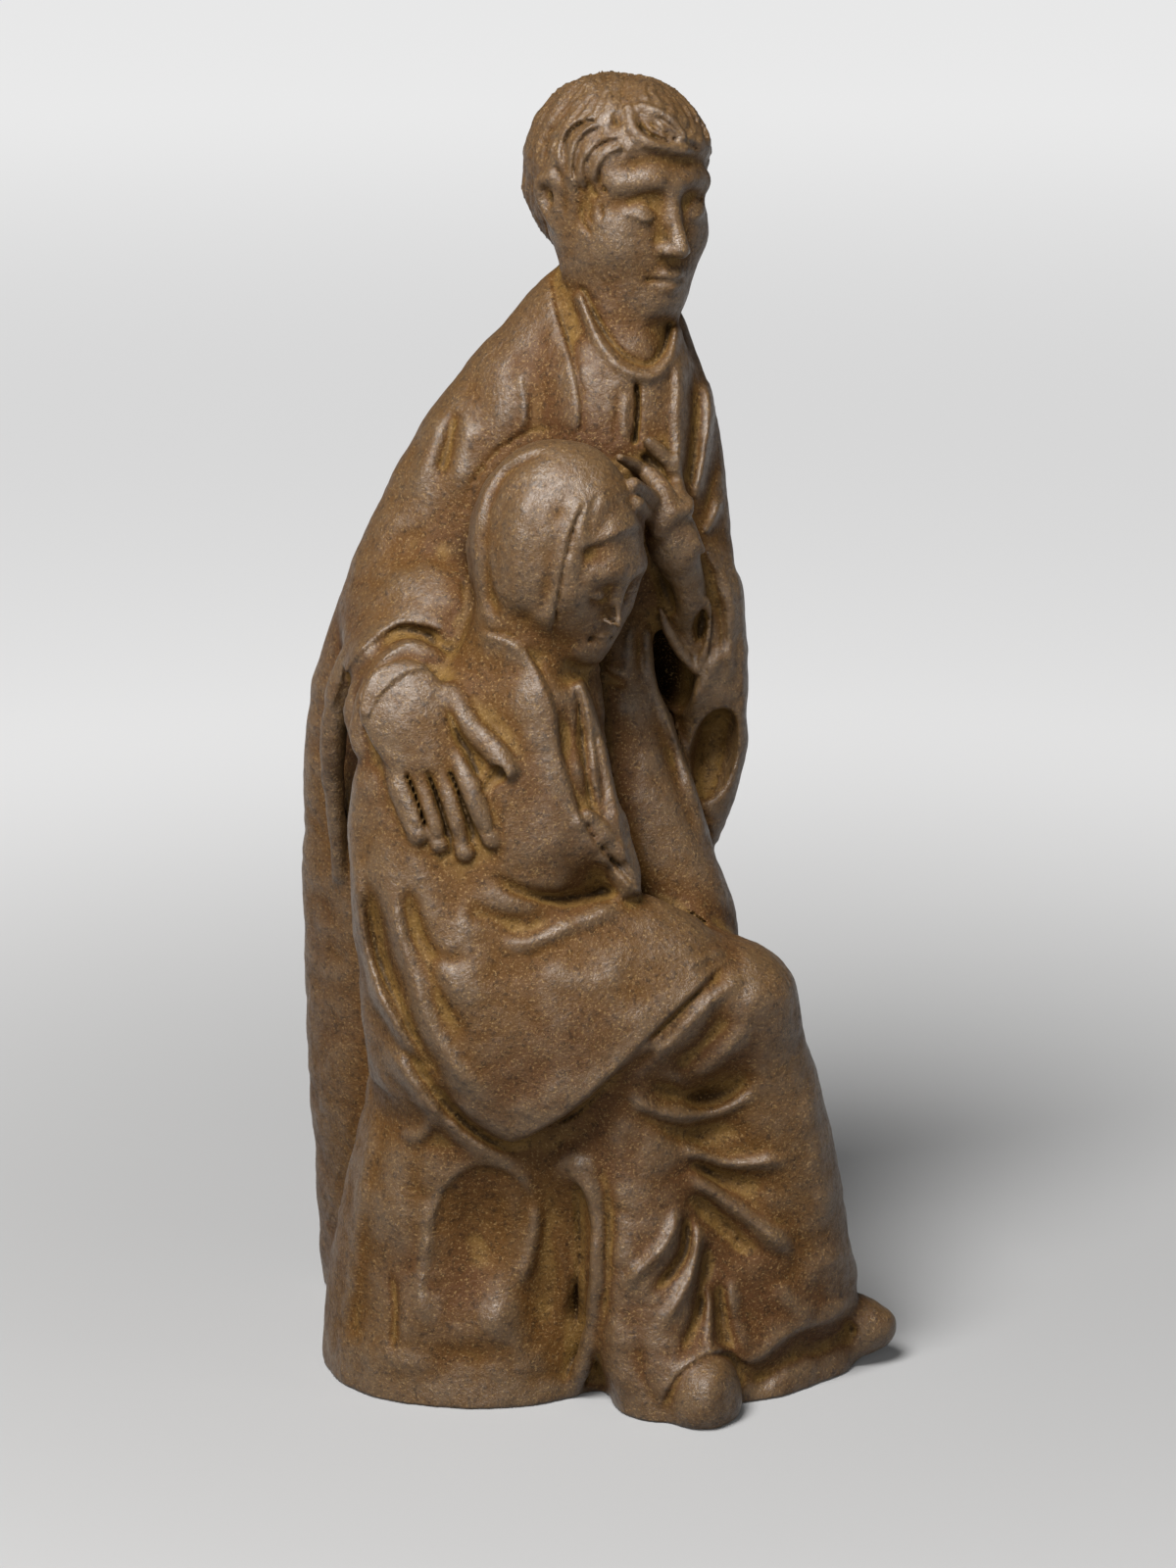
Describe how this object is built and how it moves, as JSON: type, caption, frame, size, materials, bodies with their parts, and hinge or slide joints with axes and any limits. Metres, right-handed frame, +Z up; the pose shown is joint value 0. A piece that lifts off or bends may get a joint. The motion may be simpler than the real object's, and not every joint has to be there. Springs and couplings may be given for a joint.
{
  "type": "holy family figure group",
  "caption": "Brown fired-clay figure group: a standing man in a long cloak lays a hand on a seated, hooded woman on a rock.",
  "frame": {"origin": "centre of the bounding box in plan, on the flat underside", "axes": "+Z up through the standing man's head, -Y towards the side with both faces, +X to the viewer's right when looking at that side"},
  "size_m": [0.155, 0.1344, 0.3335],
  "materials": {
    "brown_stoneware": "semi-matte brown slip on fired clay, rubbed lighter on the ridges, dark in the hollows"
  },
  "bodies": {
    "root": {"figure_group": "brown_stoneware"}
  },
  "joints": []
}
